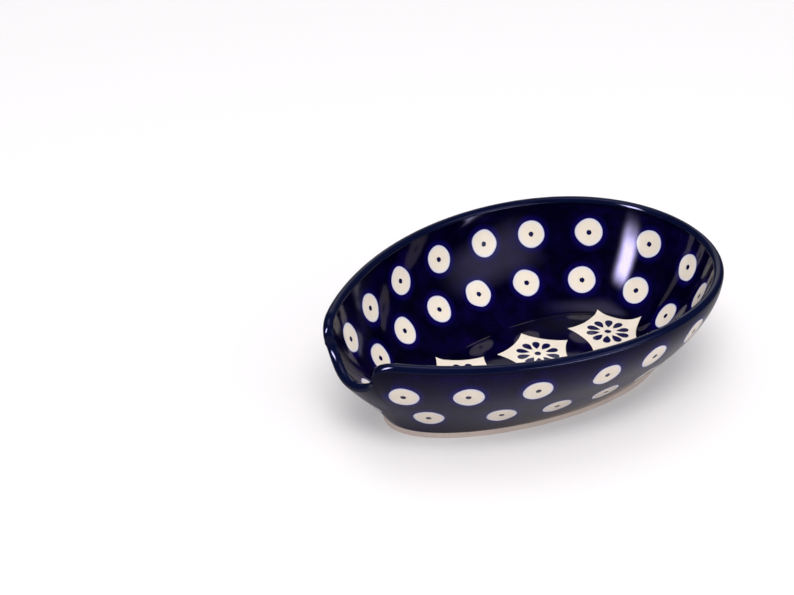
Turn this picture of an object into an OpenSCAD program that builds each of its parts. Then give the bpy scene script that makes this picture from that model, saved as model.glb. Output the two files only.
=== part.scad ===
// Oval stoneware dish that holds a cooking spoon, with a notch in the rim for the handle.
// Millimetres, Z up, origin on the table under the middle of the dish.
// The notch is at the narrow end, which points to -X.

/* [Dish] */
// Length of the rim's oval, which the notch then cuts about 4 mm shorter
oval_len = 130; // [120:1:145]
// Width over the rim
dish_w = 89; // [80:1:100]
// Height of the rim above the table
dish_h = 33; // [30:0.5:40]
// Thickness of the rounded lip
lip_t = 3; // [2.6:0.1:3.6]
// Height of the inside floor above the table
floor_z = 4.3; // [4:0.1:6]

/* [Foot] */
// Length of the foot ring
foot_len = 96.3; // [88:0.1:102]
// Width of the foot ring
foot_w = 51.6; // [46:0.1:56]
// How far the foot ring lies towards the wide end
foot_shift = 2.7; // [0:0.1:4]
// Height of the bare clay band round the foot
foot_h = 1.8; // [1.4:0.1:2.6]
// Width of the face that stands on the table
ring_w = 3.6; // [2.5:0.1:6]
// Depth of the hollow inside the foot ring
base_recess = 1.2; // [0.8:0.1:1.4]
// Chamfer on the edges of the foot ring
foot_chamfer = 0.4; // [0.2:0.1:0.6]

/* [Handle notch] */
// Width of the notch between its steep sides
notch_w = 22.5; // [18:0.5:26]
// Depth of the notch below the rim
notch_depth = 12; // [8:0.5:14]
// Radius of the two horns beside the notch
horn_r = 4.75; // [3:0.25:5]

/* [Colour coats] */
// Thickness of the colour and glaze coats
coat_t = 0.35; // [0.3:0.05:0.5]
// Diameter of the white spots
spot_d = 8.6; // [7:0.1:9.4]
// Diameter of the blue centre of each spot
centre_d = 1.8; // [1.4:0.1:3]
// Distance of the upper spots below the rim on the inside
in_upper_down = 9.7; // [9:0.1:11]
// Height of the lower spots on the inside
in_lower_z = 11.7; // [11:0.1:12.5]
// How much lower these lie at the wide end
in_lower_fall = 1.2; // [0:0.1:1.5]
// Distance of the upper spots below the rim on the outside
out_upper_down = 9.4; // [8.8:0.1:11]
// How much higher these lie at the wide end
out_upper_climb = 2.6; // [0:0.1:2.8]
// Height of the lower spots on the outside
out_lower_z = 11.6; // [10.5:0.1:12]
// How much higher these lie at the wide end
out_lower_climb = 1.2; // [0:0.1:1.5]

/* [Floor flowers] */
// Reach of the points of each white star
star_r = 12.2; // [11.5:0.1:12.6]
// Reach of the hollow sides of each star
star_waist = 8.5; // [8:0.1:9]
// Distance between neighbouring stars
star_step = 25.4; // [25:0.1:27]
// Place of the middle star along the dish
star_x = 9.4; // [8:0.2:10]
// Inner reach of the blue petals
petal_in = 2.5; // [2.2:0.1:3.2]
// Outer reach of the blue petals
petal_out = 6.6; // [6:0.1:7.2]
// Widest part of a petal
petal_w = 2.6; // [2:0.1:2.8]
// Diameter of the blue dot in the middle of a flower
pip_d = 2; // [1.6:0.1:3]

/* [Hidden] */

// Shape of the outline: widening towards the round end and two small corrections
egg_shares = [0.24, -0.035, 0.02];
foot_egg_share = 0.156;
// Fullness of the wall: all round, towards the round end, at both ends and in thirds
belly_shares = [0.55, 0.15, -0.1, 0.06];
inner_belly_shares = [0.37, 0.1, -0.17, 0.09];
// How much of the outer wall's fullness sits low, and how steadily the inner wall starts to rise
belly_low_share = -0.27;
inner_rise_share = 1.42;
// How far the wall round the notch is pressed out towards the line of the rim, and over what width
press_share = 0.23;
press_power_share = 3;
press_side = 13.4;
// Distance from the foot ring's edge to the edge of the flat floor inside
floor_inset = 7.9;
lip_r = lip_t / 2;
notch_half = notch_w / 2;
// Steps round and up a wall for its slopes, and how far a cutter runs past what it cuts
fine_angle = 0.01;
slope_angle = 1;
slope_share = 0.02;
over = 1;

// Spots all round each row, laid by hand: how far each lies past its even place, as a share of the
// step between two places. The first place is at the notch, which leaves the upper ones out.
in_upper_shares = [0, 0.06, -0.04, 0.05, -0.03, 0.04, -0.05, 0.03, -0.03,
    -0.02, 0.08, 0.1, 0, -0.03, -0.05, -0.04, -0.07];
in_lower_shares = [-0.1, -0.05, -0.12, -0.08, -0.15, -0.1, -0.2, -0.21, -0.19,
    -0.15, -0.1, -0.1, -0.17, -0.17, -0.17];
out_upper_shares = [0, -0.02, -0.1, -0.12, -0.06, -0.22, -0.31, -0.26, -0.14,
    -0.06, 0.05, 0, 0.06, -0.03, 0.04, 0.02, -0.06];
out_lower_shares = [0, 0.04, 0.19, 0.11, -0.01, -0.12, -0.15, -0.05, 0.04,
    -0.04, 0.05, -0.06, 0.03, 0.07, -0.02, 0.01];
// Rows: height at the sides, how much higher at the wide end, first place, and spacing
in_rows = [[dish_h - in_upper_down, 0, 1, in_upper_shares], [in_lower_z, -in_lower_fall, 0, in_lower_shares]];
out_rows = [[dish_h - out_upper_down, out_upper_climb, 1, out_upper_shares],
    [out_lower_z, out_lower_climb, 0, out_lower_shares]];
spot_sides = 16;
// Clearance round each white spot in its window, and its thickness
spot_gap = 0.05;
spot_t = 0.2;
// How far the blue centre lies on its spot, and its thickness
dot_gap = 0.01;
dot_t = 0.1;
petals = 10;
// Points of a star, the turn of each of the three stars, and how far each lies to the side as a
// share of the distance between two
star_points = 5;
star_turns = [25, 4, -7];
star_side_shares = [0.165, 0.06, -0.03];

clay = "#e9e2d2";
cobalt = "#14123c";
navy = "#1a2850";
bare_clay = "#b9a598";

// Outline of the rim
function egg(t) = sin(t)
    * (1 + egg_shares[0] * cos(t) + egg_shares[1] * cos(2 * t) + egg_shares[2] * cos(3 * t));
egg_peak = max([for (t = [60:1:100]) egg(t)]);
function rim_xy(t) = [oval_len / 2 * cos(t), dish_w / 2 * egg(t) / egg_peak];
function unit(v) = v / norm(v);
function out_n(t) = let (d = rim_xy(t + fine_angle) - rim_xy(t - fine_angle)) unit([d[1], -d[0]]);
function foot_xy(t, inset = 0) = [foot_shift + (foot_len / 2 - inset) * cos(t),
    (foot_w / 2 - inset) * sin(t) * (1 + foot_egg_share * cos(t))];

// Notch: a half ellipse below two rounded horns, seen from the end of the dish
nose_w = dish_w / 2 * (1 - egg_shares[0] + egg_shares[1] - egg_shares[2]) / egg_peak;
notch_low = notch_depth - horn_r;
notch_line = concat(
    [for (a = [0:18:72]) [notch_half * sin(a), notch_depth - notch_low * (1 - cos(a))]],
    [for (a = [0:30:90]) [notch_half + horn_r * (1 - cos(a)), horn_r * (1 - sin(a))]]);
notch_ts = [for (p = notch_line) 180 - asin(p[0] / nose_w)];
notch_drops = [for (i = [0:len(notch_line) - 1]) [-notch_ts[i], notch_line[i][1]]];
function drop(t) = let (u = abs(((t + 180) % 360 + 360) % 360 - 180))
    u < notch_ts[len(notch_ts) - 1] ? 0 : lookup(-u, notch_drops);

// Angles of the columns: even steps along the rim, then the notch's own points
side_columns = 18;
last_t = notch_ts[len(notch_ts) - 1];
half_ts = concat([for (i = [0:side_columns - 1]) last_t * i / side_columns],
    [for (i = [len(notch_ts) - 1:-1:0]) notch_ts[i]]);
columns = concat(half_ts, [for (i = [len(half_ts) - 2:-1:1]) 360 - half_ts[i]]);

// Wall between the foot and the lip
function fullness(shares, t) = shares * [1, cos(t), cos(2 * t), cos(3 * t)];
function belly(t) = fullness(belly_shares, t);
function in_belly(t) = fullness(inner_belly_shares, t);
function bow(k, b, low) = k + k * (1 - k) * (b + low * (1 - 2 * k));
function lip_z(t) = dish_h - drop(t) - lip_r;
function soft(x) = let (u = max(0, min(1, x))) u * u * (3 - 2 * u);
function press(t, z) = let (s = max(0, (z - foot_h) / (dish_h - notch_depth - lip_r - foot_h)))
    cos(t) > 0 ? 0 : press_share * soft((notch_half + press_side - abs(rim_xy(t)[1])) / press_side)
    * pow(min(s, 1) - pow(max(0, 0.5 - abs(s - 1)), 2) / 2, press_power_share);
// Share of the way out from the foot to the rim: k of the height, pressed out round the notch
function way(t, z, k, b, low) = let (w = bow(k, b, low)) w + press(t, z) * (1 - w);
function lip_xy(t) = let (base = foot_xy(t), k = (lip_z(t) - foot_h) / (dish_h - lip_r - foot_h))
    base + (rim_xy(t) - lip_r * out_n(t) - base) 
    * way(t, lip_z(t), k, belly(t), belly_low_share);
function flare(t) = norm(lip_xy(t) - foot_xy(t)) * (1 - belly(t) + belly_low_share);
function lean_out(t) = atan2(flare(t), lip_z(t) - foot_h);
function lean_in(t) = atan2(flare(t) + lip_r, lip_z(t) - foot_h);
// A point on the lip: a goes from the outside over the top to the inside
function lip_pt(t, a, d) = let (n = out_n(t), c = lip_xy(t), r = lip_r - d)
    [c[0] + r * cos(a) * n[0], c[1] + r * cos(a) * n[1], lip_z(t) + r * sin(a)];
function tilt(p, n, a, d) = [p[0] - d * cos(a) * n[0], p[1] - d * cos(a) * n[1], p[2] - d * sin(a)];
// Plan of a wall at share s of its height, which ends on the lip at top: full is its upper edge
// with no notch, and w and w_top are its shares of the way out
function plan(base, full, top, s, w, w_top) = [for (i = [0:1])
    base[i] + (full[i] - base[i]) * w + (top[i] - base[i] - (full[i] - base[i]) * w_top) * s * s];
// A point on the outer wall, d under its surface, with s from the foot to the lip
function out_pt(t, s, d) = let (lean = lean_out(t), n = out_n(t), b = belly(t),
    top = lip_pt(t, -lean, 0), rise = top[2] - foot_h, z = foot_h + rise * s, k = rise / (rise + drop(t)),
    p = plan(foot_xy(t), rim_xy(t) - lip_r * (1 - cos(lean)) * n, top, s,
        way(t, z, k * s, b, belly_low_share), way(t, top[2], k, b, belly_low_share)))
    tilt([p[0], p[1], z], n, -lean, d);
// A point on the inner wall, d under its surface, with s from the floor to the lip
function in_pt(t, s, d) = let (lean = lean_in(t), n = out_n(t), b = in_belly(t),
    top = lip_pt(t, 180 - lean, 0), rise = top[2] - floor_z, z = floor_z + rise * pow(s, inner_rise_share),
    k = pow(rise / (rise + drop(t)), 1 / inner_rise_share),
    p = plan(foot_xy(t, floor_inset), rim_xy(t) - lip_r * (1 + cos(lean)) * n, top, s,
        way(t, z, k * s, b, 0), way(t, top[2], k, b, 0)))
    tilt([p[0], p[1], z], n, 90 + (90 - lean) * sqrt(s), d);
// Share s at a height
function out_s(t, z) = (z - foot_h) / (lip_pt(t, -lean_out(t), 0)[2] - foot_h);
function in_s(t, z) = pow((z - floor_z) / (lip_pt(t, 180 - lean_in(t), 0)[2] - floor_z),
    1 / inner_rise_share);

// The dish is set down with the middle of its length at the origin
mid_x = (max([for (t = columns) lip_pt(t, 0, 0)[0]]) + min([for (t = columns) lip_pt(t, 0, 0)[0]])) / 2;
module placed() {
    translate([-mid_x, 0, 0]) children();
}

// Rings of points, one point for each column
wall_steps = 5;
lip_steps = 6;
function floor_ring(k, z) = [for (t = columns) let (p = foot_xy(t, floor_inset))
    [foot_shift + (p[0] - foot_shift) * k, p[1] * k, z]];
function in_ring(s, d) = [for (t = columns) in_pt(t, s, d)];
function out_ring(s, d) = [for (t = columns) out_pt(t, s, d)];
function lip_ring(i, d) = [for (t = columns) let (a = -lean_out(t), b = 180 - lean_in(t))
    lip_pt(t, a + (b - a) * i / lip_steps, d)];
function foot_ring_at(inset, z) = [for (t = columns) let (p = foot_xy(t, inset)) [p[0], p[1], z]];
function in_rings(d) = [for (i = [0:wall_steps]) in_ring(i / wall_steps, d)];
function out_rings(d) = [for (i = [0:wall_steps]) out_ring(i / wall_steps, d)];
function lip_rings(d) = [for (i = [0:lip_steps]) lip_ring(i, d)];
function reversed(v) = [for (i = [len(v) - 1:-1:0]) v[i]];
function flat(v) = [for (a = v) each a];

// A skin through rings, closed by a fan at each end where a middle point is given, or on itself.
// From ring back on it lies under its own first part, and its faces are split to match.
module ring_skin(rings, ends = [], back = undef) {
    n = len(rings[0]);
    m = len(rings);
    turn = is_undef(back) ? m : back;
    bands = len(ends) == 2 ? m - 1 : m;
    sides = [for (j = [0:bands - 1]) for (i = [0:n - 1])
        let (k = (j + 1) % m, h = (i + 1) % n, p = j * n + i, q = j * n + h, r = k * n + i, w = k * n + h)
        each j < turn ? [[p, w, r], [p, q, w]] : [[p, q, r], [q, w, r]]];
    fans = len(ends) == 2 ? [for (i = [0:n - 1]) let (h = (i + 1) % n)
        each [[m * n, h, i], [m * n + 1, (m - 1) * n + i, (m - 1) * n + h]]] : [];
    polyhedron(concat(flat(rings), ends), concat(sides, fans), convexity = 6);
}

// The whole inside coat, before any window is cut in it
module inside_coat() {
    mid = [foot_shift, 0, floor_z];
    ring_skin(concat([floor_ring(0.5, floor_z)], in_rings(0), reversed(in_rings(coat_t)),
        [floor_ring(0.5, floor_z - coat_t)]), [mid, mid - [0, 0, coat_t]], wall_steps + 2);
}

// The whole outside coat, before any window is cut in it
module outside_coat() {
    ring_skin(concat(reversed(out_rings(0)), out_rings(coat_t)), [], wall_steps + 1);
}

// The inner wall or the outer wall
function wall_pt(inside, t, s, d) = inside ? in_pt(t, s, d) : out_pt(t, s, d);
function wall_s(inside, t, z) = inside ? in_s(t, z) : out_s(t, z);

// Places of a row of spots, evenly spaced along it from the notch, each as [t, s]
row_ts = [for (t = [180:3:540]) t];
function run(pts, i = 0, sum = 0) = i >= len(pts) ? [] :
    let (far = sum + (i == 0 ? 0 : norm(pts[i] - pts[i - 1]))) concat([far], run(pts, i + 1, far));
function row_z(row, t) = row[0] + row[1] * cos(t);
function row_places(inside, row) = let (
    far = run([for (t = row_ts) wall_pt(inside, t, wall_s(inside, t, min(row_z(row, t), lip_z(t))), 0)]),
    table = [for (i = [0:len(far) - 1]) [far[i] / far[len(far) - 1], row_ts[i]]], shifts = row[3])
    [for (i = [row[2]:len(shifts) - 1]) let (t = lookup(((i + shifts[i]) / len(shifts) + 1) % 1, table))
        [t, wall_s(inside, t, row_z(row, t))]];
in_places = [for (row = in_rows) each row_places(true, row)];
out_places = [for (row = out_rows) each row_places(false, row)];

// At a place on a wall: the point, the way round, the way up, and the slopes for t and s
function frame_at(inside, place) = let (t = place[0], s = place[1], p = wall_pt(inside, t, s, 0),
    pt = (wall_pt(inside, t + slope_angle, s, 0) - p) / slope_angle,
    ps = (wall_pt(inside, t, s + slope_share, 0) - p) / slope_share,
    e = unit(pt)) [p, e, unit(ps - (ps * e) * e), pt, ps];

// The rim of a round patch of wall, each point as [t, s]
function patch_rim(place, f, r) = [for (a = [0:360 / spot_sides:359])
    let (v = r * sin(a) / (f[4] * f[2]), u = (r * cos(a) - v * (f[4] * f[1])) / norm(f[3]))
    [place[0] + u, place[1] + v]];

// Round patches at every place on a wall, between two depths
module patches(inside, d, top, low, solid = false) {
    for (place = inside ? in_places : out_places) {
        rim = patch_rim(place, frame_at(inside, place), d / 2);
        depths = inside ? [low, top] : [top, low];
        hull_if(solid) ring_skin([for (z = depths) [for (q = rim) wall_pt(inside, q[0], q[1], z)]],
            [for (z = depths) wall_pt(inside, place[0], place[1], z)]);
    }
}

module hull_if(solid) {
    if (solid) hull() children();
    else children();
}

// Windows through a coat for the spots
module windows(inside) {
    patches(inside, spot_d, -over, coat_t + over, true);
}

// Blue centres, which lie on the spots
module dots(inside) {
    for (place = inside ? in_places : out_places) {
        f = frame_at(inside, place);
        n = cross(f[1], f[2]) * (inside ? -1 : 1);
        translate(f[0]) rotate([0, acos(n[2]), atan2(n[1], n[0])]) translate([0, 0, dot_gap])
            cylinder(d = centre_d, h = dot_t, $fn = 24);
    }
}

// Star with hollow sides: each side is the arc of a circle from one point to the next
star_half = 180 / star_points;
star_chord = star_r * sin(star_half);
star_sag = star_r * cos(star_half) - star_waist;
star_arc_r = (star_chord * star_chord + star_sag * star_sag) / (2 * star_sag);
star_arc_x = star_waist + star_arc_r;
star_arc_a = asin(star_chord / star_arc_r);
star_arc_steps = 6;
module star() {
    polygon([for (q = [0:star_points - 1]) for (i = [0:star_arc_steps - 1])
        let (g = star_half * (2 * q + 1), a = star_arc_a * (2 * i / star_arc_steps - 1),
            x = star_arc_x - star_arc_r * cos(a), y = star_arc_r * sin(a))
        [x * cos(g) - y * sin(g), x * sin(g) + y * cos(g)]]);
}

// Drop-shaped petal, pointed towards the middle of its flower
module petal() {
    reach = petal_out - petal_w / 2;
    polygon(concat([[petal_in, 0]],
        [for (a = [-90:45:90]) [reach + petal_w / 2 * cos(a), petal_w / 2 * sin(a)]]));
}

module flower() {
    for (a = [0:petals - 1]) rotate((a + 0.5) * 360 / petals) petal();
    circle(d = pip_d, $fn = 24);
}

// An outline at the place of each star
module each_star() {
    for (i = [0:2]) translate([star_x + (i - 1) * star_step, star_side_shares[i] * star_step])
        rotate(star_turns[i]) children();
}

// The part of the inside coat within an outline
module coat_within() {
    intersection() {
        inside_coat();
        linear_extrude(dish_h) children();
    }
}

// Fired clay body with its foot ring, which keeps its bare lower edge
module stoneware_body() {
    under = base_recess + coat_t;
    color(bare_clay) placed() ring_skin(concat([floor_ring(0.5, floor_z - coat_t)], in_rings(coat_t),
        reversed([for (i = [1:lip_steps - 1]) lip_ring(i, coat_t)]), reversed(out_rings(coat_t)),
        [foot_ring_at(0, foot_h), foot_ring_at(0, foot_chamfer), foot_ring_at(foot_chamfer, 0),
        foot_ring_at(ring_w, 0), foot_ring_at(ring_w + foot_chamfer, under)]),
        [[foot_shift, 0, floor_z - coat_t], [foot_shift, 0, under]]);
}

// Cobalt ground inside, with round windows for the spots and star windows in the floor
module cobalt_inside() {
    color(cobalt) placed() difference() {
        inside_coat();
        windows(true);
        linear_extrude(dish_h) each_star() star();
    }
}

// Cobalt ground outside, from the foot to the lip
module cobalt_outside() {
    color(cobalt) placed() difference() {
        outside_coat();
        windows(false);
    }
}

// Lighter blue band over the lip
module rim_band() {
    color(navy) placed() ring_skin(concat(reversed(lip_rings(0)), lip_rings(coat_t)), [],
        lip_steps + 1);
}

// White spots: the glazed clay that shows in the windows of the ground
module white_spots_inside() {
    color(clay) placed() patches(true, spot_d - 2 * spot_gap, 0, spot_t);
}

module white_spots_outside() {
    color(clay) placed() patches(false, spot_d - 2 * spot_gap, 0, spot_t);
}

// Blue dot in the middle of each spot
module spot_centres_inside() {
    color(cobalt) placed() dots(true);
}

module spot_centres_outside() {
    color(cobalt) placed() dots(false);
}

// White stars on the floor, with gaps for the petals
module floor_stars() {
    color(clay) placed() coat_within() difference() {
        each_star() star();
        each_star() flower();
    }
}

// Blue petals and dot of each flower
module floor_petals() {
    color(cobalt) placed() coat_within() each_star() flower();
}

// Glazed patch inside the foot ring
module base_glaze() {
    color(clay) placed() translate([0, 0, base_recess]) linear_extrude(coat_t)
        polygon([for (t = columns) foot_xy(t, ring_w + foot_chamfer)]);
}

stoneware_body();
cobalt_inside();
cobalt_outside();
rim_band();
white_spots_inside();
white_spots_outside();
spot_centres_inside();
spot_centres_outside();
floor_stars();
floor_petals();
base_glaze();
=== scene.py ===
"""An oval stoneware spoon rest with a dark cobalt ground, white spots and a notch for the handle."""
import math
import bpy
import numpy as np
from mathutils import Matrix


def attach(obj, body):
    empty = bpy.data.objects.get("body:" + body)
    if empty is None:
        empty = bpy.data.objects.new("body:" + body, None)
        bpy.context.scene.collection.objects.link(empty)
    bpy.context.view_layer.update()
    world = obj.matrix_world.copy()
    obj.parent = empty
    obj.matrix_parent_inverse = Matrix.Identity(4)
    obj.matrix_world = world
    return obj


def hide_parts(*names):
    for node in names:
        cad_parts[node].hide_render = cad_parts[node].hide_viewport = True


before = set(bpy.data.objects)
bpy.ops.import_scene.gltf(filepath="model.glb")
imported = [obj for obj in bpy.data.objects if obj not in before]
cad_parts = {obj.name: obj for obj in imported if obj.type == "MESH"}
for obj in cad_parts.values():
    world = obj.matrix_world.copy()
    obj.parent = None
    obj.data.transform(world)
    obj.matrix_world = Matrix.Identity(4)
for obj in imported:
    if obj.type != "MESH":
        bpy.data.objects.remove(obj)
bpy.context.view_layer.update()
MM = 0.001


# Camera, floor and lamps: a pale table under soft studio light, seen from the notch's side.
# The camera's place and lens were fitted to the rim, foot and spots of the photograph.
BOARD_LIFT, ROOM_LIGHT, ROOM_SHEEN = 0.17, 0.75, 0.03
CAMERA_PLACE, CAMERA_TILT, CAMERA_TURN = (-0.29180, -0.35698, 0.29749), 59.4991, -34.614
SENSOR, LENS, CLIP_NEAR, CLIP_FAR = 36, 83.2, 0.01, 50
# Where the board is painted darker in what the glaze mirrors (painted shade in the reflections), in
# metres, and the share that is left of it
NEAR_FADE, NEAR_LEFT = (0.035, 0.08), 0.42
FAR_FADE, FAR_LEFT = (0.1, 0.35), 0.06
# A lamp's cloth, as shares of its width from its middle: half of it, and the part in full glow
CLOTH_HALF, CLOTH_FULL = 0.5, 0.1
# Lamps that are there only to be mirrored show up to this depth, so not in double reflections
MIRROR_DEPTH = 2.5


def no_selection():
    if bpy.context.object and bpy.context.object.mode != "OBJECT":
        bpy.ops.object.mode_set(mode="OBJECT")
    bpy.ops.object.select_all(action="DESELECT")


def to_linear(hex_colour):
    """sRGB hex to a linear colour with alpha."""
    parts = [int(hex_colour[i:i + 2], 16) / 255 for i in (1, 3, 5)]
    return [c / 12.92 if c <= 0.04045 else ((c + 0.055) / 1.055) ** 2.4 for c in parts] + [1.0]


def put(tree, kind, values={}, links={}, **settings):
    """A shader node with its settings, its input values and what its inputs are linked to."""
    node = tree.nodes.new("ShaderNode" + kind)
    for name, value in settings.items():
        setattr(node, name, value)
    for name, value in values.items():
        node.inputs[name].default_value = value
    for name, source in links.items():
        tree.links.new(source, node.inputs[name])
    return node


def blank_material(name):
    material = bpy.data.materials.new(name)
    material.use_nodes = True
    material.node_tree.nodes.clear()
    return material, material.node_tree


def end_material(tree, surface):
    put(tree, "OutputMaterial", links={"Surface": surface})


no_selection()
bpy.ops.object.camera_add(location=CAMERA_PLACE,
                          rotation=(math.radians(CAMERA_TILT), 0, math.radians(CAMERA_TURN)))
camera = bpy.context.object
camera.data.sensor_width = SENSOR
camera.data.lens = LENS
camera.data.clip_start, camera.data.clip_end = CLIP_NEAR, CLIP_FAR
bpy.context.scene.camera = camera

bpy.context.scene.view_settings.view_transform = "Standard"

# Matt painted board, near white. The camera sees it a little paler than it is lit. In what the glaze
# mirrors, the board is painted darker the further it lies from the dish, as painted shade in the
# reflections, so the glaze mirrors mostly the part near the dish.
no_selection()
bpy.ops.mesh.primitive_plane_add(size=6)
table_top = bpy.context.object
table_top.name = "table_top"
board, tree = blank_material("matt_white_board")
path = put(tree, "LightPath")
far = put(tree, "VectorMath", {}, {0: put(tree, "TexCoord").outputs["Object"]}, operation="LENGTH")
near = put(tree, "MapRange", {1: NEAR_FADE[0], 2: NEAR_FADE[1], 3: 1.0, 4: NEAR_LEFT},
           {0: far.outputs["Value"]})
edge = put(tree, "MapRange", {1: FAR_FADE[0], 2: FAR_FADE[1], 3: 1.0, 4: FAR_LEFT},
           {0: far.outputs["Value"]})
mirrored = put(tree, "Math", {}, {0: near.outputs[0], 1: edge.outputs[0]}, operation="MULTIPLY")
# Painted shade: glossy rays see the board's colour scaled down by the fades above
shade = put(tree, "Mix", {2: 1.0}, {0: path.outputs["Is Glossy Ray"], 3: mirrored.outputs[0]})
paint = put(tree, "Mix", {6: to_linear("#000000"), 7: to_linear("#d9d6d6")}, {0: shade.outputs[0]},
            data_type="RGBA")
matt = put(tree, "BsdfDiffuse", links={"Color": paint.outputs[2]})
lift = put(tree, "Math", {1: BOARD_LIFT}, {0: path.outputs["Is Camera Ray"]}, operation="MULTIPLY")
pale = put(tree, "Emission", {"Color": to_linear("#ffffff")}, {"Strength": lift.outputs[0]})
both = put(tree, "AddShader", links={0: matt.outputs[0], 1: pale.outputs[0]})
end_material(tree, both.outputs[0])
table_top.data.materials.append(board)

world = bpy.data.worlds.new("studio")
bpy.context.scene.world = world
world.use_nodes = True
tree = world.node_tree
tree.nodes.clear()
path = put(tree, "LightPath")
room = put(tree, "Background", {"Color": to_linear("#fbfaff"), "Strength": ROOM_LIGHT})
dark_room = put(tree, "Background", {"Color": to_linear("#fbfaff"), "Strength": ROOM_SHEEN})
white = put(tree, "Background", {"Color": to_linear("#ffffff"), "Strength": 1.0})
mirrored = put(tree, "MixShader",
               links={0: path.outputs["Is Glossy Ray"], 1: room.outputs[0], 2: dark_room.outputs[0]})
seen = put(tree, "MixShader",
           links={0: path.outputs["Is Camera Ray"], 1: mirrored.outputs[0], 2: white.outputs[0]})
put(tree, "OutputWorld", links={"Surface": seen.outputs[0]})


def softbox(name, size, azimuth, elevation, distance, power, core=1, lights=True, mirrored=True):
    """A soft lamp that faces the dish, placed by its direction from it in degrees. It fades
    towards its edges, as the cloth of a softbox does, the more so with a higher core. It can be
    left out of what the glaze mirrors, or be there only for that."""
    a, e = math.radians(azimuth), math.radians(elevation)
    place = [distance * math.cos(e) * math.cos(a), distance * math.cos(e) * math.sin(a),
             distance * math.sin(e)]
    bpy.ops.object.light_add(type="AREA", location=place, rotation=(math.pi / 2 - e, 0, a + math.pi / 2))
    lamp = bpy.context.object
    lamp.name = name
    lamp.data.shape = "RECTANGLE"
    lamp.data.size, lamp.data.size_y = size
    lamp.data.energy = power
    lamp.visible_diffuse, lamp.visible_glossy = lights, mirrored
    lamp.data.use_nodes = True
    tree = lamp.data.node_tree
    tree.nodes.clear()
    cloth = put(tree, "SeparateXYZ", links={0: put(tree, "NewGeometry").outputs["Parametric"]})
    fades = []
    for axis in (0, 1):
        from_middle = put(tree, "Math", {1: CLOTH_HALF}, {0: cloth.outputs[axis]}, operation="SUBTRACT")
        off = put(tree, "Math", {}, {0: from_middle.outputs[0]}, operation="ABSOLUTE")
        fade = put(tree, "MapRange", {1: CLOTH_HALF, 2: CLOTH_FULL, 3: 0.0, 4: 1.0}, {0: off.outputs[0]},
                   interpolation_type="SMOOTHSTEP")
        fades.append(fade)
    both = put(tree, "Math", {}, {0: fades[0].outputs[0], 1: fades[1].outputs[0]}, operation="MULTIPLY")
    glow = put(tree, "Math", {1: core}, {0: both.outputs[0]}, operation="POWER")
    if not lights:
        depth = put(tree, "LightPath").outputs["Ray Depth"]
        direct = put(tree, "Math", {1: MIRROR_DEPTH}, {0: depth}, operation="LESS_THAN")
        glow = put(tree, "Math", {}, {0: glow.outputs[0], 1: direct.outputs[0]}, operation="MULTIPLY")
    emission = put(tree, "Emission", {"Color": to_linear("#ffffff")}, {"Strength": glow.outputs[0]})
    put(tree, "OutputLight", links={"Surface": emission.outputs[0]})


softbox("overhead_softbox", (0.9, 0.9), 75, 80, 1.0, 4.5)
softbox("front_softbox", (1.0, 0.7), -125, 62, 1.1, 17, mirrored=False)
softbox("side_panel", (1.1, 0.8), -66, 30, 1.1, 4.6)
softbox("window_strip", (0.46, 1.0), -174, 33, 0.9, 90, core=3, lights=False)
softbox("low_strip", (1.0, 0.07), -80, 3, 1.0, 9, lights=False)
softbox("white_backdrop", (1.3, 0.8), 52, 24, 1.2, 3, lights=False)


# Stoneware body: the clay dish, as if thrown, pressed oval, cut for the handle and fired.
# Only its foot ring shows bare. Its outline and walls also carry every coat and spot.
OVAL, WIDE, HIGH, LIP, FLOOR = 130.0, 89.0, 33.0, 1.5, 4.3
EGG = (0.24, -0.035, 0.02)
FOOT_L, FOOT_W, FOOT_X, FOOT_EGG, FOOT_H, INSET = 96.3, 51.6, 2.7, 0.156, 1.8, 7.9
RING, RECESS, CHAMFER = 3.6, 1.2, 0.4
NOTCH, DEEP, HORN, PRESS, POWER, SIDE = 11.25, 12.0, 4.75, 0.23, 3.0, 13.4
BELLY, BELLY_LOW = (0.55, 0.15, -0.1, 0.06), -0.27
IN_BELLY, RISE = (0.37, 0.1, -0.17, 0.09), 1.42
COAT = 0.35
# Step for a direction along the rim, columns of the notch's bottom, its sides and one half's rim
FINE, BOTTOM_COLUMNS, STEEP_COLUMNS, SIDE_COLUMNS = 1e-4, 18, 29, 140
# Rings of the clay's walls, lip and foot edges, and how much wider its notch is under the band
CLAY_WALL_RINGS, CLAY_LIP_RINGS, FOOT_RINGS, NOTCH_SPARE = 16, 14, 5, 0.5
SMOOTH_ANGLE = 50


def egg(t):
    return np.sin(t) * (1 + EGG[0] * np.cos(t) + EGG[1] * np.cos(2 * t) + EGG[2] * np.cos(3 * t))


PEAK = egg(np.linspace(1, 1.8, 2000)).max()
NOSE = WIDE / 2 * (1 - EGG[0] + EGG[1] - EGG[2]) / PEAK


def rim(t):
    return np.stack([OVAL / 2 * np.cos(t), WIDE / 2 * egg(t) / PEAK], -1)


def outward(t):
    d = rim(t + FINE) - rim(t - FINE)
    n = np.stack([d[..., 1], -d[..., 0]], -1)
    return n / np.linalg.norm(n, axis=-1, keepdims=True)


def foot(t, inset=0.0):
    return np.stack([FOOT_X + (FOOT_L / 2 - inset) * np.cos(t),
                     (FOOT_W / 2 - inset) * np.sin(t) * (1 + FOOT_EGG * np.cos(t))], -1)


def soft(x):
    x = np.clip(x, 0, 1)
    return x * x * (3 - 2 * x)


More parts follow.
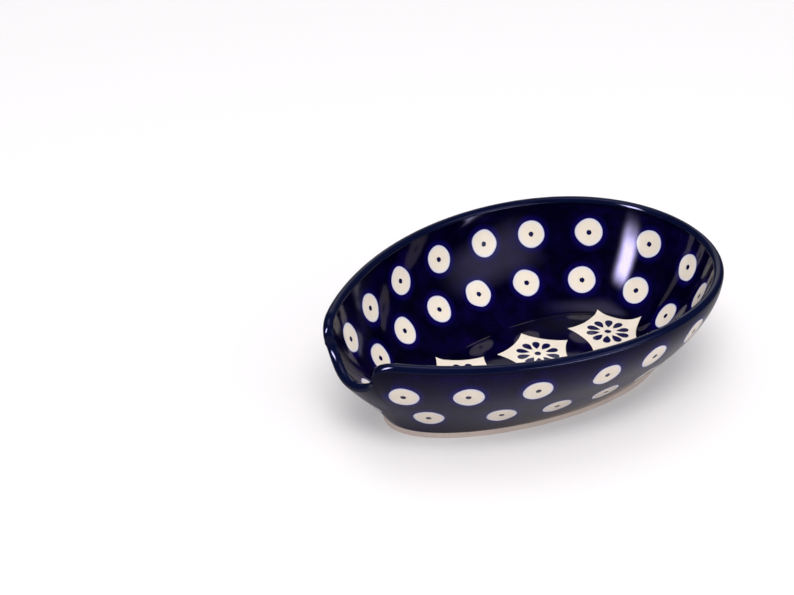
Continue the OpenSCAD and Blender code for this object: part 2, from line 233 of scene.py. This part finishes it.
# The notch: a half ellipse between two rounded horns, as columns round the dish
low = np.linspace(0, np.pi / 2, BOTTOM_COLUMNS, endpoint=False)
steep = np.linspace(0, np.pi / 2, STEEP_COLUMNS)
notch_y = np.concatenate([NOTCH * np.sin(low), NOTCH + HORN * (1 - np.cos(steep))])
notch_drop = np.concatenate([DEEP - (DEEP - HORN) * (1 - np.cos(low)), HORN * (1 - np.sin(steep))])
notch_t = np.pi - np.arcsin(notch_y / NOSE)
side_t = np.linspace(0, notch_t[-1], SIDE_COLUMNS, endpoint=False)
half_t = np.concatenate([side_t, notch_t[::-1]])
COLUMNS = np.concatenate([half_t, 2 * np.pi - half_t[-2:0:-1]])


def drop(t):
    """How far the notch lowers the rim."""
    u = np.abs((t + np.pi) % (2 * np.pi) - np.pi)
    return np.interp(-u, -notch_t, notch_drop, right=0)


def fullness(shares, t):
    return sum(share * np.cos(k * t) for k, share in enumerate(shares))


def press(t, z):
    """How far the wall round the notch is pressed out."""
    x = np.maximum(0, (z - FOOT_H) / (HIGH - DEEP - LIP - FOOT_H))
    x = np.minimum(x, 1) - np.maximum(0, 0.5 - np.abs(x - 1)) ** 2 / 2
    beside = soft((NOTCH + SIDE - np.abs(rim(t)[..., 1])) / SIDE)
    return np.where(np.cos(t) > 0, 0, PRESS * beside * x ** POWER)


def way(t, z, k, b, low):
    """Share of the way out from the foot to the rim at a share k of the height."""
    w = k + k * (1 - k) * (b + low * (1 - 2 * k))
    return w + press(t, z) * (1 - w)


def lip_middle(t):
    z, base = HIGH - drop(t) - LIP, foot(t)
    k = (z - FOOT_H) / (HIGH - LIP - FOOT_H)
    out = way(t, z, k, fullness(BELLY, t), BELLY_LOW)
    return base + (rim(t) - LIP * outward(t) - base) * out[..., None], z


def leans(t):
    """Slopes at which the outer and the inner wall meet the lip."""
    c, z = lip_middle(t)
    r = np.linalg.norm(c - foot(t), axis=-1) * (1 - fullness(BELLY, t) + BELLY_LOW)
    return np.arctan2(r, z - FOOT_H), np.arctan2(r + LIP, z - FOOT_H)


def lip(t, a, deep=0.0):
    c, z = lip_middle(t)
    r = LIP - deep
    plan = c + (r * np.cos(a))[..., None] * outward(t)
    return np.concatenate([plan, (z + r * np.sin(a))[..., None]], -1)


def under(p, t, a, deep):
    return p - deep * np.concatenate([np.cos(a)[..., None] * outward(t), np.sin(a)[..., None]], -1)


def wall_plan(base, full, top, s, w, w_top):
    missed = top - base - (full - base) * w_top[..., None]
    return base + (full - base) * w[..., None] + missed * (s * s)[..., None]


def outer_wall(t, s, deep=0.0):
    t, s = np.broadcast_arrays(t, s)
    lean, b = leans(t)[0], fullness(BELLY, t)
    top = lip(t, -lean)
    rise = top[..., 2] - FOOT_H
    z, k = FOOT_H + rise * s, rise / (rise + drop(t))
    full = rim(t) - (LIP * (1 - np.cos(lean)))[..., None] * outward(t)
    p = wall_plan(foot(t), full, top[..., :2], s,
                  way(t, z, k * s, b, BELLY_LOW), way(t, top[..., 2], k, b, BELLY_LOW))
    return under(np.concatenate([p, z[..., None]], -1), t, -lean, deep)


def inner_wall(t, s, deep=0.0):
    t, s = np.broadcast_arrays(t, s)
    lean, b = leans(t)[1], fullness(IN_BELLY, t)
    top = lip(t, np.pi - lean)
    rise = top[..., 2] - FLOOR
    z, k = FLOOR + rise * s ** RISE, (rise / (rise + drop(t))) ** (1 / RISE)
    full = rim(t) - (LIP * (1 + np.cos(lean)))[..., None] * outward(t)
    p = wall_plan(foot(t, INSET), full, top[..., :2], s,
                  way(t, z, k * s, b, 0), way(t, top[..., 2], k, b, 0))
    facing = np.pi / 2 + (np.pi / 2 - lean) * np.sqrt(s)
    return under(np.concatenate([p, z[..., None]], -1), t, facing, deep)


def flat_ring(inset, z, share=1.0):
    """A ring at the foot's outline, drawn in towards its middle by a share."""
    p = foot(COLUMNS, inset)
    return np.column_stack([FOOT_X + (p[:, 0] - FOOT_X) * share, p[:, 1] * share, np.full(len(p), z)])


# The dish stands with the middle of its length over the origin
ends = lip(COLUMNS, np.zeros(len(COLUMNS)))[:, 0]
MIDDLE = (ends.min() + ends.max()) / 2


def select_points(piece, chosen):
    """Opens a piece in edit mode with only these points selected."""
    bpy.ops.object.mode_set(mode="EDIT")
    bpy.ops.mesh.select_mode(type="VERT")
    bpy.ops.mesh.select_all(action="DESELECT")
    bpy.ops.object.mode_set(mode="OBJECT")
    picked = np.zeros(len(piece.data.vertices), bool)
    picked[chosen] = True
    piece.data.vertices.foreach_set("select", picked)
    bpy.ops.object.mode_set(mode="EDIT")


def pull_up(name, rings, close_first=False, close_last=False):
    """A wall pulled up ring by ring from a circle, as on the wheel, and then pressed to its shape."""
    columns = len(rings[0])
    no_selection()
    bpy.ops.mesh.primitive_circle_add(vertices=columns, radius=1)
    piece = bpy.context.object
    piece.name = piece.data.name = name
    bpy.ops.object.mode_set(mode="EDIT")
    bpy.ops.mesh.select_mode(type="VERT")
    bpy.ops.mesh.select_all(action="SELECT")
    for _ in rings[1:]:
        bpy.ops.mesh.extrude_region_move(TRANSFORM_OT_translate={"value": (0, 0, 1)})
    bpy.ops.object.mode_set(mode="OBJECT")
    points = np.empty(len(piece.data.vertices) * 3)
    piece.data.vertices.foreach_get("co", points)
    points = points.reshape(-1, 3)
    row = np.rint(points[:, 2]).astype(int)
    angle = np.arctan2(points[:, 1], points[:, 0])
    column = np.rint(angle / (2 * np.pi) * columns).astype(int) % columns
    placed = np.array(rings)[row, column] - [MIDDLE, 0, 0]
    piece.data.vertices.foreach_set("co", (placed * MM).ravel())
    piece.data.update()
    for wanted, last in ((close_first, 0), (close_last, len(rings) - 1)):
        if wanted:
            select_points(piece, np.flatnonzero(row == last))
            bpy.ops.mesh.edge_face_add()
            bpy.ops.mesh.poke()
            bpy.ops.object.mode_set(mode="OBJECT")
    return piece


def thicken(piece, thick):
    """Gives a sheet its thickness, behind the side that shows."""
    no_selection()
    piece.select_set(True)
    bpy.context.view_layer.objects.active = piece
    coat = piece.modifiers.new("thickness", "SOLIDIFY")
    coat.thickness, coat.offset = thick * MM, -1
    bpy.ops.object.modifier_apply(modifier=coat.name)


def finish_piece(piece, node, material):
    """Smooth shading, its material, and its place in the frame."""
    no_selection()
    piece.select_set(True)
    bpy.context.view_layer.objects.active = piece
    bpy.ops.object.shade_smooth_by_angle(angle=math.radians(SMOOTH_ANGLE))
    piece.data.materials.clear()
    piece.data.materials.append(material)
    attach(piece, "root")
    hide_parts(node)


def wall_rings(wall, steps, deep=0.0):
    return [wall(COLUMNS, s, deep) for s in steps]


def lip_rings(steps, deep=0.0):
    first, last = -leans(COLUMNS)[0], np.pi - leans(COLUMNS)[1]
    return [lip(COLUMNS, first + (last - first) * k, deep) for k in steps]


foot_curve = np.linspace(0, np.pi / 2, FOOT_RINGS)
under_recess = RECESS + COAT
# Under its band the clay's notch is a little wider, so that its steep sides stay behind the band
band_notch_t, notch_t = notch_t, np.pi - np.arcsin((notch_y + NOTCH_SPARE) / NOSE)
rings = ([flat_ring(INSET, FLOOR - COAT, 0.5)]
         + wall_rings(inner_wall, np.linspace(0, 1, CLAY_WALL_RINGS), COAT)
         + lip_rings(np.linspace(1, 0, CLAY_LIP_RINGS)[1:-1], COAT)
         + wall_rings(outer_wall, np.linspace(1, 0, CLAY_WALL_RINGS), COAT)
         + [flat_ring(0, FOOT_H)]
         + [flat_ring(CHAMFER * (1 - math.cos(a)), CHAMFER * (1 - math.sin(a))) for a in foot_curve]
         + [flat_ring(RING - CHAMFER * (1 - math.sin(a)), CHAMFER * (1 - math.cos(a)))
            for a in foot_curve]
         + [flat_ring(RING + CHAMFER, under_recess)])
notch_t = band_notch_t
body = pull_up("fired_clay_body", rings, True, True)

# Fired stoneware, unglazed where it stands: matt, fine grain, warm grey-pink with a few iron specks
bare, tree = blank_material("bare_fired_stoneware")
where = put(tree, "TexCoord").outputs["Object"]
grain = put(tree, "TexNoise", {"Scale": 1 / (0.5 * MM), "Detail": 3.0}, {"Vector": where})
cloud = put(tree, "TexNoise", {"Scale": 1 / (9 * MM), "Detail": 3.0}, {"Vector": where})
tone = put(tree, "Mix", {6: to_linear("#d9cabf"), 7: to_linear("#c6b4ab")},
           {0: cloud.outputs["Fac"]}, data_type="RGBA")
speck = put(tree, "MapRange", {1: 0.62, 2: 0.72, 3: 0.0, 4: 0.35}, {0: grain.outputs["Fac"]})
tone = put(tree, "Mix", {7: to_linear("#7d6457")}, {0: speck.outputs[0], 6: tone.outputs[2]},
           data_type="RGBA")
bump = put(tree, "Bump", {"Strength": 0.4, "Distance": 0.08 * MM}, {"Height": grain.outputs["Fac"]})
clay = put(tree, "BsdfPrincipled", {"Roughness": 0.8, "Specular IOR Level": 0.35},
           {"Base Color": tone.outputs[2], "Normal": bump.outputs[0]})
end_material(tree, clay.outputs[0])
finish_piece(body, "stoneware_body", bare)


# White spots: discs of clay kept free of the cobalt by round stamps, under the clear glaze.
# Four rows, two inside and two outside, each spot a little off round.
SPOT, SPOT_LIFT, SPOT_UNDER = 4.3, 0.03, 0.1
CENTRE, CENTRE_LIFT = 0.8, 0.05
SPOT_COLUMNS, DOT_COLUMNS = 48, 32
# How wavy a hand leaves a spot, a dot and a star, and how far a dot strays from the middle
SPOT_WAVE, DOT_WAVE, STAR_WAVE, DOT_STRAY = 0.009, 0.03, 0.004, 0.12
# Steps round and up a wall for its slopes
SLOPE_T, SLOPE_S = 0.017, 0.02
# The rows: height or distance below the rim, and how much higher or lower at the wide end
IN_UPPER_DOWN, IN_LOWER_Z, IN_LOWER_FALL = 9.7, 11.7, 1.2
OUT_UPPER_DOWN, OUT_UPPER_CLIMB, OUT_LOWER_Z, OUT_LOWER_CLIMB = 9.4, 2.6, 11.6, 1.2
# Shifts from even places, in steps: guesses but for about a third, which follow the photograph
IN_UPPER_SHIFTS = [0, 0.06, -0.04, 0.05, -0.03, 0.04, -0.05, 0.03, -0.03,
                   -0.02, 0.08, 0.1, 0, -0.03, -0.05, -0.04, -0.07]
IN_LOWER_SHIFTS = [-0.1, -0.05, -0.12, -0.08, -0.15, -0.1, -0.2, -0.21,
                   -0.19, -0.15, -0.1, -0.1, -0.17, -0.17, -0.17]
OUT_UPPER_SHIFTS = [0, -0.02, -0.1, -0.12, -0.06, -0.22, -0.31, -0.26, -0.14,
                    -0.06, 0.05, 0, 0.06, -0.03, 0.04, 0.02, -0.06]
OUT_LOWER_SHIFTS = [0, 0.04, 0.19, 0.11, -0.01, -0.12, -0.15, -0.05,
                    0.04, -0.04, 0.05, -0.06, 0.03, 0.07, -0.02, 0.01]
hand = np.random.default_rng(7)


def share_at(wall, t, z):
    """The share of a wall's height at a height above the table."""
    lean = leans(t)[1 if wall is inner_wall else 0]
    if wall is inner_wall:
        return ((z - FLOOR) / (lip(t, np.pi - lean)[..., 2] - FLOOR)) ** (1 / RISE)
    return (z - FOOT_H) / (lip(t, -lean)[..., 2] - FOOT_H)


def row_places(wall, height, climb, first, shifts):
    """Places round a wall from the notch, as angle and share of the height. Each is shifted from
    its even place by a share of a step, as a hand lays them."""
    t = np.radians(np.arange(180, 541, 1.0))
    z = height + climb * np.cos(t)
    line = wall(t, share_at(wall, t, np.minimum(z, HIGH - drop(t) - LIP)))
    far = np.concatenate([[0], np.cumsum(np.linalg.norm(np.diff(line, axis=0), axis=1))])
    steps = (np.arange(len(shifts)) + shifts)[first:] / len(shifts)
    at = np.interp(steps % 1, far / far[-1], t)
    return [(a, float(share_at(wall, a, height + climb * np.cos(a)))) for a in at]


inside_places = (row_places(inner_wall, HIGH - IN_UPPER_DOWN, 0, 1, IN_UPPER_SHIFTS)
                 + row_places(inner_wall, IN_LOWER_Z, -IN_LOWER_FALL, 0, IN_LOWER_SHIFTS))
outside_places = (row_places(outer_wall, HIGH - OUT_UPPER_DOWN, OUT_UPPER_CLIMB, 1, OUT_UPPER_SHIFTS)
                  + row_places(outer_wall, OUT_LOWER_Z, OUT_LOWER_CLIMB, 0, OUT_LOWER_SHIFTS))


def on_wall(wall, place, x, y, lift):
    """Points at x round and y up from a place on a wall, lifted off it."""
    t, s = np.array(place[0]), np.array(place[1])
    p = wall(t, s)
    pt = (wall(t + SLOPE_T, s) - wall(t - SLOPE_T, s)) / (2 * SLOPE_T)
    ps = (wall(t, s + SLOPE_S) - wall(t, s - SLOPE_S)) / (2 * SLOPE_S)
    e = pt / np.linalg.norm(pt)
    f = ps - (ps @ e) * e
    f = f / np.linalg.norm(f)
    v = y / (ps @ f)
    u = (x - v * (ps @ e)) / np.linalg.norm(pt)
    return wall(t + u, s + v, -lift)


def stamped_disc(name, columns, insets):
    """A round disc with rings inside it, modelled once and copied."""
    no_selection()
    bpy.ops.mesh.primitive_circle_add(vertices=columns, radius=1, fill_type="NGON")
    disc = bpy.context.object
    disc.name = name
    bpy.ops.object.mode_set(mode="EDIT")
    bpy.ops.mesh.select_mode(type="FACE")
    bpy.ops.mesh.select_all(action="SELECT")
    for step in insets:
        bpy.ops.mesh.inset(thickness=step)
    bpy.ops.mesh.poke()
    bpy.ops.object.mode_set(mode="OBJECT")
    points = np.empty(len(disc.data.vertices) * 3)
    disc.data.vertices.foreach_get("co", points)
    points = points.reshape(-1, 3)
    return disc, np.hypot(points[:, 0], points[:, 1]), np.arctan2(points[:, 1], points[:, 0])


def off_round(angle, amount):
    """A hand-made circle: 1 with a few small waves round it."""
    waves = range(2, 6)
    size, phase = hand.normal(0, amount, len(waves)), hand.uniform(0, 2 * np.pi, len(waves))
    return 1 + sum(a * np.cos(k * angle + p) for k, a, p in zip(waves, size, phase))


def set_points(piece, points):
    piece.data.vertices.foreach_set("co", ((points - [MIDDLE, 0, 0]) * MM).ravel())
    piece.data.update()


def join_all(name, parts, thick):
    """Joins copies into one piece and gives them their thickness, downwards."""
    no_selection()
    for part in parts:
        part.select_set(True)
    bpy.context.view_layer.objects.active = parts[0]
    bpy.ops.object.join()
    piece = parts[0]
    piece.name = piece.data.name = name
    thicken(piece, thick)
    return piece


def copy_of(disc):
    twin = disc.copy()
    twin.data = disc.data.copy()
    bpy.context.collection.objects.link(twin)
    return twin


def turned_out(piece, outward_is_up):
    """Turns a flat copy's faces over where the wall's own directions would point them in."""
    if not outward_is_up:
        piece.data.flip_normals()


spot_disc, spot_r, spot_a = stamped_disc("spot_disc", SPOT_COLUMNS, (0.05, 0.07, 0.12, 0.22, 0.22))
share = spot_disc.data.attributes.new("edge_share", "FLOAT", "POINT")
share.data.foreach_set("value", spot_r)
dot_disc, dot_r, dot_a = stamped_disc("dot_disc", DOT_COLUMNS, (0.3,))
painted = {}
for side, wall, places in (("inside", inner_wall, inside_places),
                           ("outside", outer_wall, outside_places)):
    spots, dots = [], []
    for place in places:
        r = SPOT * spot_r * off_round(spot_a, SPOT_WAVE)
        spot = copy_of(spot_disc)
        set_points(spot, on_wall(wall, place, r * np.cos(spot_a), r * np.sin(spot_a), SPOT_LIFT))
        turned_out(spot, wall is outer_wall)
        spots.append(spot)
        x, y = hand.normal(0, DOT_STRAY, 2)
        r = CENTRE * dot_r * off_round(dot_a, DOT_WAVE)
        dot = copy_of(dot_disc)
        set_points(dot, on_wall(wall, place, x + r * np.cos(dot_a), y + r * np.sin(dot_a), CENTRE_LIFT))
        turned_out(dot, wall is outer_wall)
        dots.append(dot)
    painted[side] = (join_all("spots_" + side, spots, SPOT_UNDER),
                     join_all("dots_" + side, dots, SPOT_UNDER))
for disc in (spot_disc, dot_disc):
    bpy.data.objects.remove(disc)

# Clear glaze over pale clay: warm cream, bluer at its edge where the cobalt bled into it
cream, tree = blank_material("clear_glazed_cream_clay")
where = put(tree, "TexCoord").outputs["Object"]
cloud = put(tree, "TexNoise", {"Scale": 1 / (3 * MM), "Detail": 3.0}, {"Vector": where})
tone = put(tree, "Mix", {6: to_linear("#efe4d6"), 7: to_linear("#e6dac8")},
           {0: cloud.outputs["Fac"]}, data_type="RGBA")
edge = put(tree, "Attribute", attribute_name="edge_share")
bleed = put(tree, "MapRange", {1: 0.78, 2: 0.95, 3: 0.0, 4: 0.9}, {0: edge.outputs["Fac"]},
            interpolation_type="SMOOTHSTEP")
tone = put(tree, "Mix", {7: to_linear("#dadae8")}, {0: bleed.outputs[0], 6: tone.outputs[2]},
           data_type="RGBA")
fringe = put(tree, "MapRange", {1: 0.94, 2: 1.0, 3: 0.0, 4: 0.7}, {0: edge.outputs["Fac"]})
tone = put(tree, "Mix", {7: to_linear("#8480b8")}, {0: fringe.outputs[0], 6: tone.outputs[2]},
           data_type="RGBA")
glaze = put(tree, "BsdfPrincipled", {"Roughness": 0.07, "IOR": 1.5}, {"Base Color": tone.outputs[2]})
end_material(tree, glaze.outputs[0])
finish_piece(painted["inside"][0], "white_spots_inside", cream)
finish_piece(painted["outside"][0], "white_spots_outside", cream)

# Cobalt laid thick with a brush tip: near black blue
dense, tree = blank_material("dense_cobalt_brushwork")
where = put(tree, "TexCoord").outputs["Object"]
cloud = put(tree, "TexNoise", {"Scale": 1 / (1.5 * MM), "Detail": 3.0}, {"Vector": where})
tone = put(tree, "Mix", {6: to_linear("#080630"), 7: to_linear("#14134c")},
           {0: cloud.outputs["Fac"]}, data_type="RGBA")
glaze = put(tree, "BsdfPrincipled", {"Roughness": 0.08, "IOR": 1.5}, {"Base Color": tone.outputs[2]})
end_material(tree, glaze.outputs[0])
finish_piece(painted["inside"][1], "spot_centres_inside", dense)
finish_piece(painted["outside"][1], "spot_centres_outside", dense)


# Cobalt ground: as if dipped or painted with cobalt and then glazed clear and glossy.
# It lies inside and outside as a thin coat, brighter blue round each spot.
COAT_THICK = 0.3
GROUND_RINGS, FLOOR_RINGS, BAND_RINGS, BASE_RINGS = 48, 12, 30, 8


def ground_coat(name, rings, closed, wall, places):
    """A coat with its distance from its nearest spot and from the rim's band kept on its points."""
    piece = pull_up(name, rings, closed)
    spot_middles = [wall(np.array(t), np.array(s)) for t, s in places]
    points = np.empty(len(piece.data.vertices) * 3)
    piece.data.vertices.foreach_get("co", points)
    points = points.reshape(-1, 3) / MM + [MIDDLE, 0, 0]
    gap = np.min([np.linalg.norm(points - m, axis=1) for m in spot_middles], axis=0) - SPOT
    for label, values in (("spot_gap", gap), ("band_gap", below_rim(points))):
        kept = piece.data.attributes.new(label, "FLOAT", "POINT")
        kept.data.foreach_set("value", values)
    if not closed:
        piece.data.flip_normals()
    thicken(piece, COAT_THICK)
    return piece


def below_rim(points):
    """Height below the lip's edge, near enough the distance from the band."""
    t = np.arctan2(points[:, 1] / WIDE, points[:, 0] / OVAL)
    return HIGH - LIP - drop(t) - points[:, 2]


rows = np.linspace(0, 1, GROUND_RINGS)
outside = ground_coat("cobalt_ground_outside", wall_rings(outer_wall, rows), False,
                      outer_wall, outside_places)
floor_rings = [flat_ring(INSET, FLOOR, k) for k in np.linspace(0.05, 0.95, FLOOR_RINGS)]
inside = ground_coat("cobalt_ground_inside", floor_rings + wall_rings(inner_wall, rows), True,
                     inner_wall, inside_places)


def glazed_cobalt(name, ground, patch, bled, spec):
    """Clear glaze over thick cobalt: near black with a violet cast, and blue-violet round each spot."""
    cobalt, tree = blank_material(name)
    where = put(tree, "TexCoord").outputs["Object"]
    cloud = put(tree, "TexNoise", {"Scale": 1 / (7 * MM), "Detail": 4.0, "Roughness": 0.6},
                {"Vector": where})
    patchy = put(tree, "MapRange", {1: 0.42, 2: 0.72, 3: 0.0, 4: 1.0}, {0: cloud.outputs["Fac"]})
    tone = put(tree, "Mix", {6: to_linear(ground), 7: to_linear(patch)}, {0: patchy.outputs[0]},
               data_type="RGBA")
    gap = put(tree, "Attribute", attribute_name="spot_gap")
    wander = put(tree, "MapRange", {1: 0.3, 2: 0.7, 3: -0.4, 4: 0.4}, {0: cloud.outputs["Fac"]})
    reach = put(tree, "Math", {}, {0: gap.outputs["Fac"], 1: wander.outputs[0]}, operation="ADD")
    halo = put(tree, "MapRange", {1: 0.3, 2: 2.3, 3: 1.0, 4: 0.0}, {0: reach.outputs[0]},
               interpolation_type="SMOOTHSTEP")
    tone = put(tree, "Mix", {7: to_linear(bled)}, {0: halo.outputs[0], 6: tone.outputs[2]},
               data_type="RGBA")
    below = put(tree, "Attribute", attribute_name="band_gap")
    seam = put(tree, "MapRange", {1: 0.2, 2: 1.4, 3: 0.85, 4: 0.0}, {0: below.outputs["Fac"]},
               interpolation_type="SMOOTHSTEP")
    tone = put(tree, "Mix", {7: to_linear("#010112")}, {0: seam.outputs[0], 6: tone.outputs[2]},
               data_type="RGBA")
    wave = put(tree, "TexNoise", {"Scale": 1 / (6 * MM), "Detail": 1.0}, {"Vector": where})
    bump = put(tree, "Bump", {"Strength": 0.12, "Distance": 0.25 * MM}, {"Height": wave.outputs["Fac"]})
    glaze = put(tree, "BsdfPrincipled", {"Roughness": 0.06, "IOR": 1.5, "Specular IOR Level": spec,
                                         "Specular Tint": to_linear("#d0c6ff")},
                {"Base Color": tone.outputs[2], "Normal": bump.outputs[0]})
    end_material(tree, glaze.outputs[0])
    return cobalt


# The ground outside is a little more violet, and the inside copy is painted darker throughout: painted
# shade for the inside of the dish
finish_piece(outside, "cobalt_outside",
             glazed_cobalt("glazed_cobalt_outside", "#02001c", "#090234", "#0c054c", 0.25))
finish_piece(inside, "cobalt_inside",
             glazed_cobalt("glazed_cobalt_inside_painted_shade", "#010013", "#08022e", "#0a0444", 0.3))


# Rim band: a bluer cobalt over the lip, as if banded by hand.
# It runs round the whole rim and down through the notch.
band = pull_up("rim_band_coat", lip_rings(np.linspace(0, 1, BAND_RINGS)))
band.data.flip_normals()
thicken(band, COAT_THICK)
navy, tree = blank_material("thin_cobalt_rim")
where = put(tree, "TexCoord").outputs["Object"]
cloud = put(tree, "TexNoise", {"Scale": 1 / (7 * MM), "Detail": 4.0}, {"Vector": where})
tone = put(tree, "Mix", {6: to_linear("#04071f"), 7: to_linear("#09102e")},
           {0: cloud.outputs["Fac"]}, data_type="RGBA")
glaze = put(tree, "BsdfPrincipled", {"Roughness": 0.08, "IOR": 1.5, "Specular IOR Level": 0.3,
                                     "Specular Tint": to_linear("#ccc8ff")},
            {"Base Color": tone.outputs[2]})
end_material(tree, glaze.outputs[0])
finish_piece(band, "rim_band", navy)


# Floor flowers: three white stars with hollow sides, each with a wheel of cobalt petals on it.
# The stars lie flat on the floor, and the points of the outer ones run a little up the wall.
STAR_R, STAR_WAIST, STAR_STEP, STAR_X = 12.2, 8.5, 25.4, 9.4
PETAL_IN, PETAL_OUT, PETAL_W, PIP, PETALS = 2.5, 6.6, 2.6, 1.0, 10
STAR_LIFT, PETAL_LIFT, ABOVE = 0.03, 0.05, 20
STAR_COLUMNS, PETAL_COLUMNS = 140, 24
half = math.pi / 5
chord, sag = STAR_R * math.sin(half), STAR_R * math.cos(half) - STAR_WAIST
arc_r = (chord * chord + sag * sag) / (2 * sag)
arc_x = STAR_WAIST + arc_r


def star_reach(a):
    """Distance from a star's middle to its edge."""
    b = np.abs((a % (2 * half)) - half)
    return arc_x * np.cos(b) - np.sqrt(np.maximum(arc_r ** 2 - (arc_x * np.sin(b)) ** 2, 0))


def lay_on(piece, target, lift):
    """Drops a flat piece on to a surface."""
    no_selection()
    piece.select_set(True)
    bpy.context.view_layer.objects.active = piece
    fall = piece.modifiers.new("lay", "SHRINKWRAP")
    fall.target, fall.wrap_method, fall.use_project_z = target, "PROJECT", True
    fall.use_positive_direction, fall.use_negative_direction = False, True
    fall.wrap_mode, fall.offset = "ABOVE_SURFACE", lift * MM
    bpy.ops.object.modifier_apply(modifier=fall.name)


flowers = [(STAR_X + (i - 1) * STAR_STEP, side * STAR_STEP, math.radians(turn))
           for i, (side, turn) in enumerate(((0.165, 25), (0.06, 4), (-0.03, -7)))]
star_disc, star_r, star_a = stamped_disc("star_disc", STAR_COLUMNS, (0.03, 0.07, 0.1, 0.15, 0.2, 0.2))
petal_disc, petal_r, petal_a = stamped_disc("petal_disc", PETAL_COLUMNS, (0.3,))
stars, petals = [], []
for x, y, turn in flowers:
    star = copy_of(star_disc)
    r = star_r * star_reach(star_a) * off_round(star_a, STAR_WAVE)
    set_points(star, np.column_stack([x + r * np.cos(star_a + turn), y + r * np.sin(star_a + turn),
                                      np.full(len(r), ABOVE)]))
    lay_on(star, inside, STAR_LIFT)
    stars.append(star)
    for k in range(PETALS + 1):
        petal = copy_of(petal_disc)
        if k == PETALS:
            r = PIP * petal_r * off_round(petal_a, DOT_WAVE)
            px, py = r * np.cos(petal_a), r * np.sin(petal_a)
        else:
            along = petal_r * np.cos(petal_a)
            narrow = ((along + 1) / 2) ** 0.5
            px = (PETAL_IN + PETAL_OUT) / 2 + (PETAL_OUT - PETAL_IN) / 2 * along * hand.normal(1, 0.02)
            py = petal_r * np.sin(petal_a) * narrow * PETAL_W / 2 * hand.normal(1.2, 0.05)
            spin = (k + 0.5) * 2 * math.pi / PETALS + turn + hand.normal(0, 0.015)
            px, py = px * math.cos(spin) - py * math.sin(spin), px * math.sin(spin) + py * math.cos(spin)
        set_points(petal, np.column_stack([x + px, y + py, np.full(len(px), ABOVE)]))
        lay_on(petal, inside, PETAL_LIFT)
        petals.append(petal)
for disc in (star_disc, petal_disc):
    bpy.data.objects.remove(disc)
finish_piece(join_all("floor_star_patches", stars, SPOT_UNDER), "floor_stars", cream)
finish_piece(join_all("floor_petal_strokes", petals, SPOT_UNDER), "floor_petals", dense)


# Base glaze: the hollow inside the foot ring is glazed over the bare clay, and has no cobalt.
# This is a guess at the usual way, as the underside doesn't show in the photograph.
base_rings = [flat_ring(RING + CHAMFER, RECESS, k) for k in np.linspace(1, 0.1, BASE_RINGS)]
base = pull_up("glazed_base", base_rings, False, True)
thicken(base, COAT_THICK)
finish_piece(base, "base_glaze", cream)
